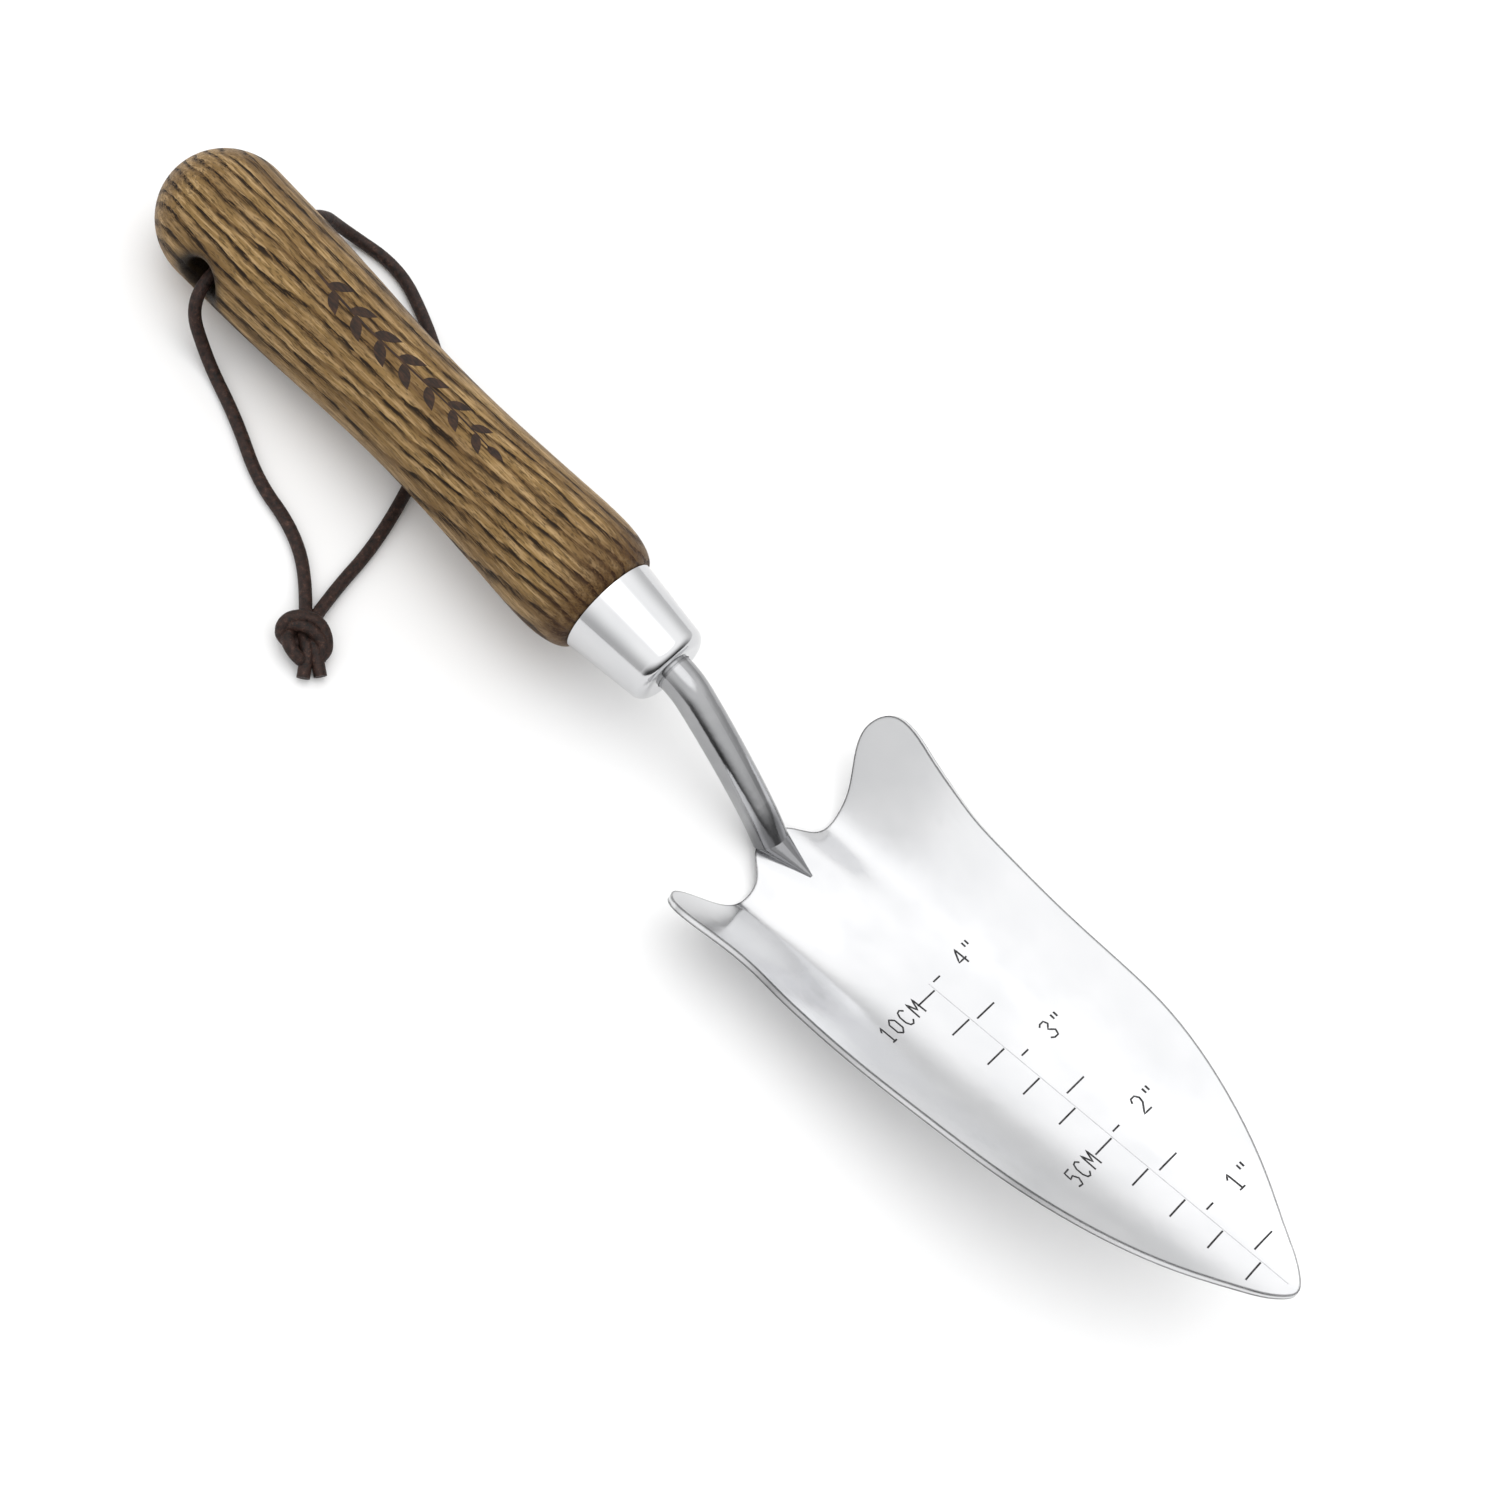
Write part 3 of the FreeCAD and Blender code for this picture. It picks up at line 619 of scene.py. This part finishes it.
faint, tree, shader, place = new_material("steel_lightly_etched")
wear_cells = add(tree, "VectorMath", {0: place, 1: (ETCH_ACROSS, ETCH_ALONG, ETCH_ACROSS)},
    operation="DIVIDE")[0]
wear = add(tree, "TexNoise", {"Vector": wear_cells, "Scale": 1.0})["Fac"]
colour = add(tree, "Mix", {0: wear, 6: linear(ETCH_DARK), 7: linear(ETCH_PALE)}, data_type="RGBA")[2]
tree.links.new(colour, shader.inputs["Base Color"])
shader.inputs["Roughness"].default_value = ETCH_ROUGHNESS
shader.inputs["Metallic"].default_value = ETCH_METALLIC
strips = [stroke([(0, back) for back in CENTRE_LINE], CENTRE_WIDTH, CENTRE_STEP)]
centre_line = inlay("etched_centre_line", strips, on_blade, faint)
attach(centre_line, "root")

# ---- Leather thong ----
# A lace about 3 mm thick, cut from dark brown hide and rolled round. It goes through the handle's
# cross hole and under the waist, and its two ends meet in the knot. The hide is matt, with a fine grain,
# and lighter spots are painted into its colour as highlights.
THONG_DIAMETER = 3.0
THONG_LIE = 1.6
THONG_ROUTE = [
    (45.9, 73.2, 3.4), (38.5, 65.5, THONG_LIE), (33.2, 54.5, THONG_LIE), (31.6, 41.0, THONG_LIE),
    (25.2, 26.5, THONG_LIE), (20.6, 11.0, THONG_LIE), (19.6, 1.0, 15.0), (0.0, -0.8, 17.2),
    (-19.6, 0.5, 15.0), (-28.5, 2.5, THONG_LIE), (-32.4, 17.5, THONG_LIE), (-27.8, 32.0, THONG_LIE),
    (-21.0, 46.0, THONG_LIE), (-8.0, 56.0, THONG_LIE), (7.0, 63.5, THONG_LIE), (22.5, 69.3, THONG_LIE),
    (36.0, 72.0, THONG_LIE), (45.1, 75.0, 3.2),
]
LACE_ORDER = 3
LACE_STEPS = 12
LACE_ROUNDNESS = 6
HIDE_GRAIN = 0.35
HIDE_CREASE = 1.3
HIDE_DARK = "#0A0503"
HIDE_BROWN = "#2B1A14"
HIDE_PAINTED_HIGHLIGHT = "#523A30"
CREASE_SHARE = 0.55
GRAIN_SHARE = 0.45
BROWN_LEVELS = (0.38, 0.52)
HIGHLIGHT_LEVELS = (0.52, 0.7)
NAP_LEVELS = (0.3, 0.7)
NAP_ROUGHNESS = (0.5, 0.72)
HIDE_IOR = 1.5
HIDE_GLOSS = 0.3
HIDE_RELIEF = 0.4
HIDE_BUMP = 0.8

# The hole's centre is on the handle's axis, so far from the butt
dome_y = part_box("handle")[0][1] / MM + BUTT_RADIUS
hole_at = Vector((0.0, dome_y + (HOLE_FROM_BUTT - BUTT_RADIUS) * math.cos(PITCH), 0.0))
route = [(hole_at + Vector(point)) * MM for point in THONG_ROUTE]

leather, tree, shader, place = new_material("brown_hide_rolled_lace")
grain_cells = add(tree, "VectorMath", {0: place, 1: (HIDE_GRAIN, HIDE_GRAIN, HIDE_GRAIN)},
    operation="DIVIDE")[0]
grain = add(tree, "TexNoise", {"Vector": grain_cells, "Scale": 1.0, "Detail": 4.0, "Roughness": 0.6})["Fac"]
crease_cells = add(tree, "VectorMath", {0: place, 1: (HIDE_CREASE, HIDE_CREASE, HIDE_CREASE)},
    operation="DIVIDE")[0]
crease = add(tree, "TexNoise", {"Vector": crease_cells, "Scale": 1.0, "Detail": 3.0,
        "Roughness": 0.65})["Fac"]
tone = add(tree, "Math", {0: crease, 1: CREASE_SHARE}, operation="MULTIPLY")[0]
tone = add(tree, "Math", {0: grain, 1: GRAIN_SHARE, 2: tone}, operation="MULTIPLY_ADD")[0]
brown = add(tree, "MapRange", {0: tone, 1: BROWN_LEVELS[0], 2: BROWN_LEVELS[1]},
    interpolation_type="SMOOTHSTEP")[0]
colour = add(tree, "Mix", {0: brown, 6: linear(HIDE_DARK), 7: linear(HIDE_BROWN)}, data_type="RGBA")[2]
# Painted highlight: lighter spots where the hide's noise is high.
painted_highlight = add(tree, "MapRange", {0: tone, 1: HIGHLIGHT_LEVELS[0], 2: HIGHLIGHT_LEVELS[1]},
    interpolation_type="SMOOTHSTEP")[0]
colour = add(tree, "Mix", {0: painted_highlight, 6: colour, 7: linear(HIDE_PAINTED_HIGHLIGHT)}, data_type="RGBA")[2]
tree.links.new(colour, shader.inputs["Base Color"])
nap = add(tree, "MapRange", {0: grain, 1: NAP_LEVELS[0], 2: NAP_LEVELS[1], 3: NAP_ROUGHNESS[0],
        4: NAP_ROUGHNESS[1]}, interpolation_type="SMOOTHSTEP")[0]
tree.links.new(nap, shader.inputs["Roughness"])
shader.inputs["IOR"].default_value = HIDE_IOR
shader.inputs["Specular IOR Level"].default_value = HIDE_GLOSS
relief = add(tree, "Bump", {"Strength": HIDE_BUMP, "Distance": HIDE_RELIEF * MM, "Height": tone})["Normal"]
tree.links.new(relief, shader.inputs["Normal"])


def lace(name, points, diameter):
    """A round lace, diameter in mm, along a smooth NURBS line with these control points in metres."""
    curve = bpy.data.curves.new(name, "CURVE")
    curve.dimensions = "3D"
    spline = curve.splines.new("NURBS")
    spline.points.add(len(points) - 1)
    for point, spot in zip(spline.points, points):
        point.co = (*spot, 1.0)
    spline.order_u = LACE_ORDER
    spline.use_endpoint_u = True
    spline.resolution_u = LACE_STEPS
    curve.bevel_depth = diameter * MM / 2
    curve.bevel_resolution = LACE_ROUNDNESS
    curve.use_fill_caps = True
    curve.materials.append(leather)
    piece = bpy.data.objects.new(name, curve)
    bpy.context.collection.objects.link(piece)
    return piece


thong = lace("thong_lace", route, THONG_DIAMETER)
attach(thong, "root")
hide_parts("lanyard_thong")

# ---- Overhand knot ----
# The thong's two ends, tied together in one overhand knot: two turns pass over the top and one passes
# under them, round a short inner end. Each tail starts inside an end of the thong, runs through the
# middle and lies on the table.
KNOT_AT = (50.0, 77.5)
KNOT_DOWN = Vector((0.6163, 0.7875, 0.0))
KNOT_ACROSS = Vector((-0.7875, 0.6163, 0.0))
# Points are (across, down towards the tails, up from the table) from the knot's centre, in millimetres
STRANDS = {
    "over_turn": [(1.5, 4.5, 2.2), (4.4, 3.6, 2.6), (5.0, 0.2, 3.9), (3.4, -3.0, 5.6), (0.2, -4.2, 6.6),
                  (-3.4, -4.0, 6.4), (-5.2, -2.2, 4.8), (-4.4, -0.4, 2.8), (-1.0, 0.4, 2.0)],
    "under_turn": [(2.6, -1.6, 2.2), (-0.6, -4.0, 2.6), (-4.0, -1.4, 4.2), (-3.6, 2.2, 4.6),
                   (-1.4, 4.8, 3.6), (0.2, 4.6, 2.0), (1.6, 2.0, 1.8)],
    "second_turn": [(-2.2, 0.8, 2.0), (-4.9, -0.6, 3.2), (-4.9, -2.4, 4.4), (-2.6, -2.8, 5.6),
                    (0.4, -1.9, 6.0), (3.0, -0.2, 4.8), (4.3, 2.0, 3.6), (3.2, 4.2, 2.2)],
    "left_tail": [(0.7, -7.1, 3.2), (0.5, -5.0, 3.4), (-0.6, -3.0, 2.9), (0.0, -0.6, 3.2), (0.4, 2.2, 3.5),
                  (0.2, 5.0, 2.7), (-0.5, 8.5, 1.7)],
    "right_tail": [(3.0, -6.0, 3.0), (2.0, -4.4, 3.3), (1.0, -2.6, 2.6), (1.3, -0.6, 3.0), (2.1, 2.2, 3.3),
                   (2.8, 5.0, 2.5), (3.3, 8.1, 1.7)],
    "inner_end": [(-2.2, -4.2, 1.9), (-2.4, -1.0, 2.0), (-1.9, 2.4, 1.8)],
}

knot_centre = hole_at + Vector((*KNOT_AT, 0.0))
for name, points in STRANDS.items():
    spots = [(knot_centre + KNOT_ACROSS * a + KNOT_DOWN * d + Vector((0, 0, h))) * MM for a, d, h in points]
    strand = lace("knot_" + name, spots, THONG_DIAMETER)
    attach(strand, "root")
    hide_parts("lanyard_knot")

# ---- Table and light ----
# A plain white table under a soft white tent, bright from about halfway up and brightest overhead.
# Lower down the room shows round it: light grey behind the butt and at the sides, nearly dark past the
# blade's tip.
TABLE_HALF = 6000.0
TABLE_WHITE = "#EFEFEF"
TABLE_ROUGHNESS = 0.9
TABLE_GLOSS = 0.1
TENT_LIGHT = 1.42
ROOM_LIGHT = 0.82
ROOM_DARK = 0.04
TOP_LIGHT = 1.1
# Spans of the direction that one looks in: its part ahead and a share of its part to +X, then its part up
SIDE_SHARE = 0.3
ROOM_SPAN = (0.05, 0.8)
TENT_SPAN = (0.15, 0.78)
TOP_SPAN = (0.86, 0.97)

table_mesh = bpy.data.meshes.new("table")
table_half = TABLE_HALF * MM
corners = [(x * table_half, y * table_half, 0) for x, y in ((-1, -1), (1, -1), (1, 1), (-1, 1))]
table_mesh.from_pydata(corners, [], [(0, 1, 2, 3)])
table = bpy.data.objects.new("table", table_mesh)
bpy.context.collection.objects.link(table)
lacquer, tree, shader, place = new_material("white_lacquered_board")
shader.inputs["Base Color"].default_value = linear(TABLE_WHITE)
shader.inputs["Roughness"].default_value = TABLE_ROUGHNESS
shader.inputs["Specular IOR Level"].default_value = TABLE_GLOSS
table_mesh.materials.append(lacquer)
table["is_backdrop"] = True

world = bpy.data.worlds.new("light_tent")
bpy.context.scene.world = world
world.use_nodes = True
tree = world.node_tree
background = tree.nodes["Background"]
direction = add(tree, "TexCoord")["Generated"]
side, ahead, up = add(tree, "SeparateXYZ", {0: direction})
ahead_and_side = add(tree, "Math", {0: side, 1: SIDE_SHARE, 2: ahead}, operation="MULTIPLY_ADD")[0]
room = add(tree, "MapRange", {0: ahead_and_side, 1: ROOM_SPAN[0], 2: ROOM_SPAN[1], 3: ROOM_LIGHT,
        4: ROOM_DARK}, interpolation_type="SMOOTHSTEP")[0]
tent = add(tree, "MapRange", {0: up, 1: TENT_SPAN[0], 2: TENT_SPAN[1]}, interpolation_type="SMOOTHSTEP")[0]
open_share = add(tree, "Math", {0: 1.0, 1: tent}, operation="SUBTRACT")[0]
room_light = add(tree, "Math", {0: room, 1: open_share}, operation="MULTIPLY")[0]
light = add(tree, "Math", {0: tent, 1: TENT_LIGHT, 2: room_light}, operation="MULTIPLY_ADD")[0]
top = add(tree, "MapRange", {0: up, 1: TOP_SPAN[0], 2: TOP_SPAN[1], 3: 0.0, 4: TOP_LIGHT},
    interpolation_type="SMOOTHSTEP")[0]
light = add(tree, "Math", {0: light, 1: top}, operation="ADD")[0]
tree.links.new(light, background.inputs["Strength"])
background.inputs["Color"].default_value = (1, 1, 1, 1)

# ---- Camera ----
# It stands over the +X side of the blade and looks down at the tool, with the butt at the upper left
# and the blade's tip at the lower right. Its place is in metres.
CAMERA_PLACE = Vector((0.2760, 0.0777, 0.5494))
CAMERA_RIGHT = Vector((-0.6804, 0.6797, 0.2739))
CAMERA_BACK = Vector((0.4634, 0.1095, 0.8794))
CAMERA_LENS = 66
CAMERA_SENSOR = 36

camera_back = CAMERA_BACK.normalized()
camera_right = (CAMERA_RIGHT - camera_back * CAMERA_RIGHT.dot(camera_back)).normalized()
camera_up = camera_back.cross(camera_right)
camera = bpy.data.objects.new("camera", bpy.data.cameras.new("camera"))
camera.data.lens = CAMERA_LENS
camera.data.sensor_width = CAMERA_SENSOR
turned = Matrix((camera_right, camera_up, camera_back)).transposed().to_4x4()
camera.matrix_world = Matrix.Translation(CAMERA_PLACE) @ turned
bpy.context.collection.objects.link(camera)
bpy.context.scene.camera = camera
bpy.context.scene.view_settings.view_transform = "Standard"

size = {"cad": [list(corner) for corner in CAD_BOX], "visual": [list(corner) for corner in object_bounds()]}
